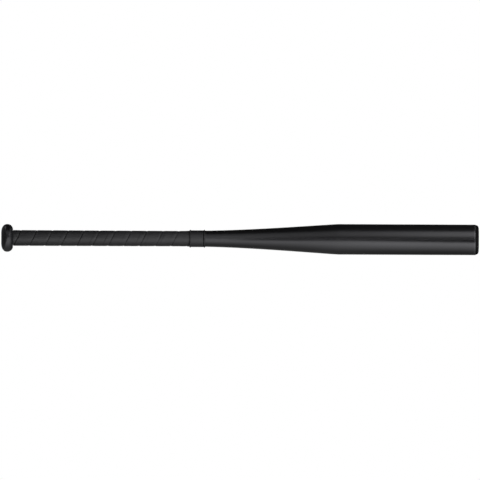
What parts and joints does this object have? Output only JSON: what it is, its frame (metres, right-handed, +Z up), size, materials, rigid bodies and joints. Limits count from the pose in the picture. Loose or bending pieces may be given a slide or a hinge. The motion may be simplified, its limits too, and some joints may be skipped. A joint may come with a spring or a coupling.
{
  "type": "baseball bat",
  "caption": "Slim hollow alloy baseball bat: round barrel, long taper, wound grip tape, rubber grip collar, rounded knob and flat end cap.",
  "frame": {"origin": "middle of the knob's flat end face", "axes": "+X along the bat's axis from the knob to the barrel's end, +Z up, -Y towards the viewer"},
  "size_m": [0.8636, 0.055, 0.0552],
  "materials": {
    "tube_paint": "satin black coat over drawn alloy tube",
    "knob_paint": "satin black coat over cast alloy",
    "weld_metal": "ground weld bead under the same satin black coat",
    "plug_rubber": "matte moulded rubber",
    "adhesive": "tacky double-sided film",
    "grip_leatherette": "fine-grained soft polyurethane wrap",
    "band_vinyl": "stretched vinyl tape",
    "collar_rubber": "satin moulded rubber",
    "cap_plastic": "fine matte moulded polymer"
  },
  "bodies": {
    "root": {"bat_tube": "tube_paint", "knob": "knob_paint", "knob_weld": "weld_metal", "knob_plug": "plug_rubber", "grip_adhesive": "adhesive", "grip_tape": "grip_leatherette", "finishing_band": "band_vinyl", "grip_collar": "collar_rubber", "end_cap": "cap_plastic"}
  },
  "joints": []
}
